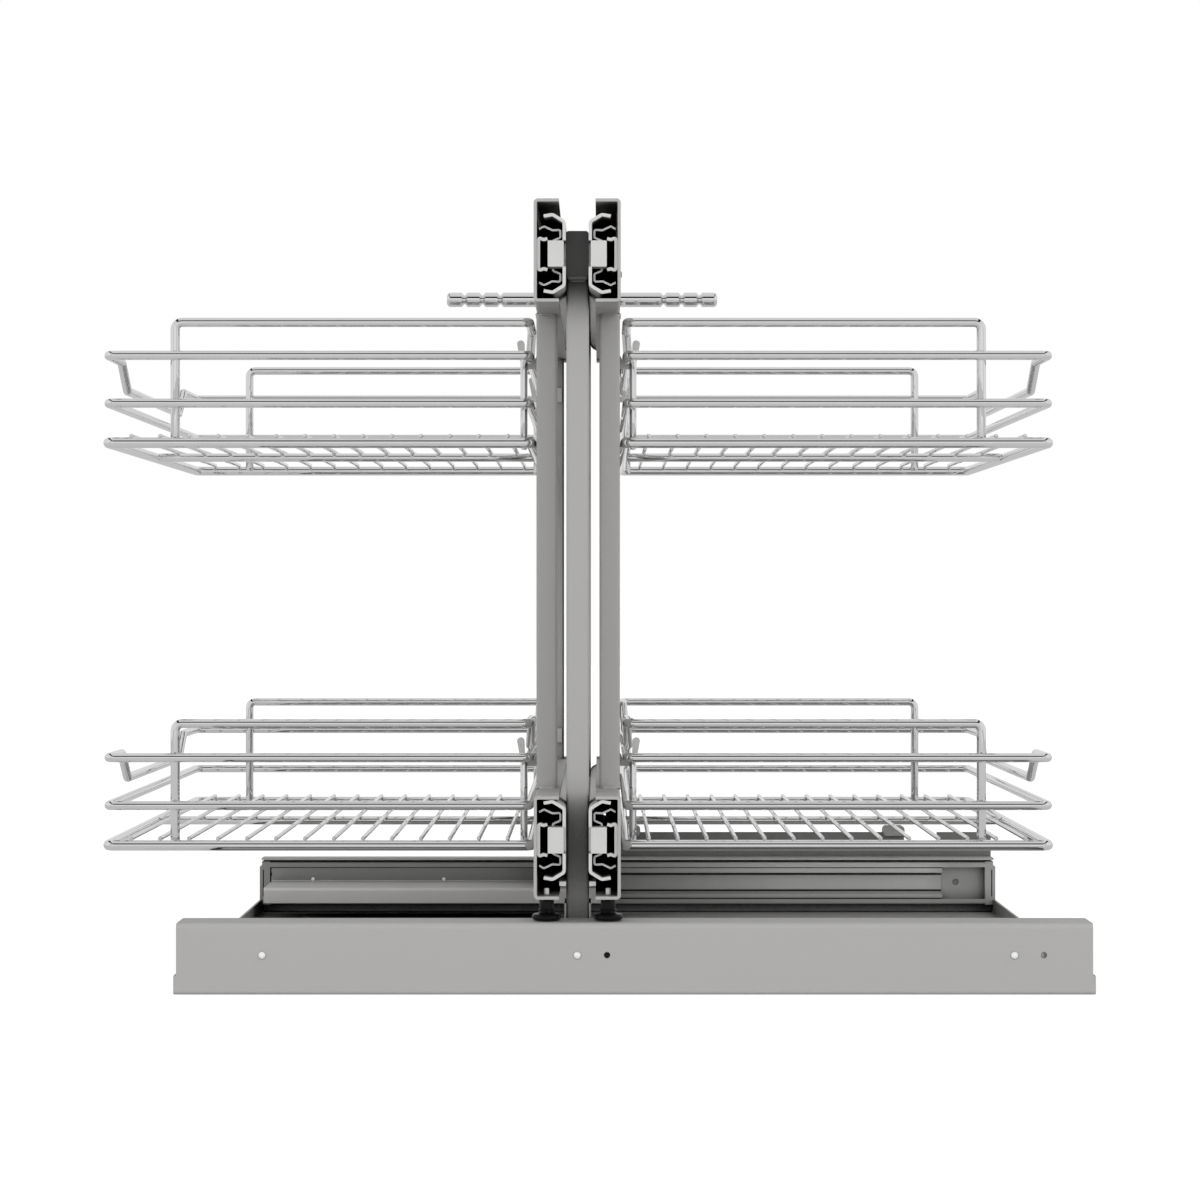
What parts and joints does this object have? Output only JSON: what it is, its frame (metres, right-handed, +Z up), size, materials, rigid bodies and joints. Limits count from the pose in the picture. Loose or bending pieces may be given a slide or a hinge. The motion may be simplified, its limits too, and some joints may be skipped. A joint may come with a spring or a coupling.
{
  "type": "pull-out pantry frame",
  "caption": "Blind-corner cabinet pull-out: a centre frame shifts sideways on a sheet-metal base, and racks with wire baskets pull out forwards on ball-bearing slides.",
  "frame": {"origin": "centre of the base pan's underside", "axes": "+X to the right along the cross slides, -Y out of the cabinet the way the racks pull, +Z up"},
  "size_m": [0.6644, 0.5145, 0.521],
  "materials": {
    "frame_steel": "satin powder coat",
    "slide_steel": "zinc plated",
    "bearing_steel": "polished",
    "bright_steel": "bright plated",
    "basket_wire": "polished chrome",
    "hook_steel": "satin",
    "bumper": "matt",
    "black_plastic": "matt",
    "stop_pad": "matt"
  },
  "bodies": {
    "base": {"base_pan": "frame_steel", "front_rail_wall": "frame_steel", "rear_rail_wall": "frame_steel", "front_cross_track": "slide_steel", "rear_cross_track": "slide_steel", "back_stop_plate": "frame_steel", "stop_pads": "stop_pad", "wall_screws": "bright_steel"},
    "cross_runners": {"cross_runner_pair": "slide_steel", "cross_ball_cages": "bearing_steel"},
    "centre_frame": {"centre_front_post": "frame_steel", "centre_rear_post": "frame_steel", "centre_top_rail": "frame_steel", "centre_bottom_rail": "frame_steel", "top_rail_caps": "black_plastic", "foot_brackets": "slide_steel", "bracket_bolts": "bright_steel", "carriage_rails": "slide_steel", "carriage_ball_cages": "bearing_steel", "front_carriage_arm": "frame_steel", "rear_carriage_arm": "frame_steel", "rear_stop_bar": "bright_steel", "left_upper_track": "slide_steel", "left_lower_track": "slide_steel", "right_upper_track": "slide_steel", "right_lower_track": "slide_steel"},
    "left_runners": {"left_upper_runner": "slide_steel", "left_lower_runner": "slide_steel", "left_ball_cages": "bearing_steel", "left_runner_bumpers": "bumper"},
    "left_rack": {"left_upper_channel": "frame_steel", "left_lower_channel": "frame_steel", "left_front_post": "frame_steel", "left_rear_post": "frame_steel", "left_upper_rail": "slide_steel", "left_lower_rail": "slide_steel", "left_foot": "black_plastic", "left_foot_stud": "bright_steel", "left_basket_hooks": "hook_steel", "left_upper_basket": "basket_wire", "left_upper_floor": "basket_wire", "left_lower_basket": "basket_wire", "left_lower_floor": "basket_wire"},
    "right_runners": {"right_upper_runner": "slide_steel", "right_lower_runner": "slide_steel", "right_ball_cages": "bearing_steel", "right_runner_bumpers": "bumper"},
    "right_rack": {"right_upper_channel": "frame_steel", "right_lower_channel": "frame_steel", "right_front_post": "frame_steel", "right_rear_post": "frame_steel", "right_upper_rail": "slide_steel", "right_lower_rail": "slide_steel", "right_foot": "black_plastic", "right_foot_stud": "bright_steel", "right_basket_hooks": "hook_steel", "right_upper_basket": "basket_wire", "right_upper_floor": "basket_wire", "right_lower_basket": "basket_wire", "right_lower_floor": "basket_wire"}
  },
  "joints": [
    {"name": "cross_slide", "type": "slide", "parent": "base", "child": "centre_frame", "axis": [1, 0, 0], "range_m": [0, 0.3]},
    {"name": "cross_runner_slide", "type": "slide", "parent": "base", "child": "cross_runners", "axis": [1, 0, 0], "range_m": [0, 0.034]},
    {"name": "left_rack_slide", "type": "slide", "parent": "centre_frame", "child": "left_rack", "axis": [0, -1, 0], "range_m": [0, 0.43]},
    {"name": "left_runner_slide", "type": "slide", "parent": "centre_frame", "child": "left_runners", "axis": [0, -1, 0], "range_m": [0, 0.215]},
    {"name": "right_rack_slide", "type": "slide", "parent": "centre_frame", "child": "right_rack", "axis": [0, -1, 0], "range_m": [0, 0.43]},
    {"name": "right_runner_slide", "type": "slide", "parent": "centre_frame", "child": "right_runners", "axis": [0, -1, 0], "range_m": [0, 0.215]}
  ],
  "couplings": [
    {"joint": "cross_runner_slide", "follows": "cross_slide", "ratio": 0.11333},
    {"joint": "left_runner_slide", "follows": "left_rack_slide", "ratio": 0.5},
    {"joint": "right_runner_slide", "follows": "right_rack_slide", "ratio": 0.5}
  ]
}
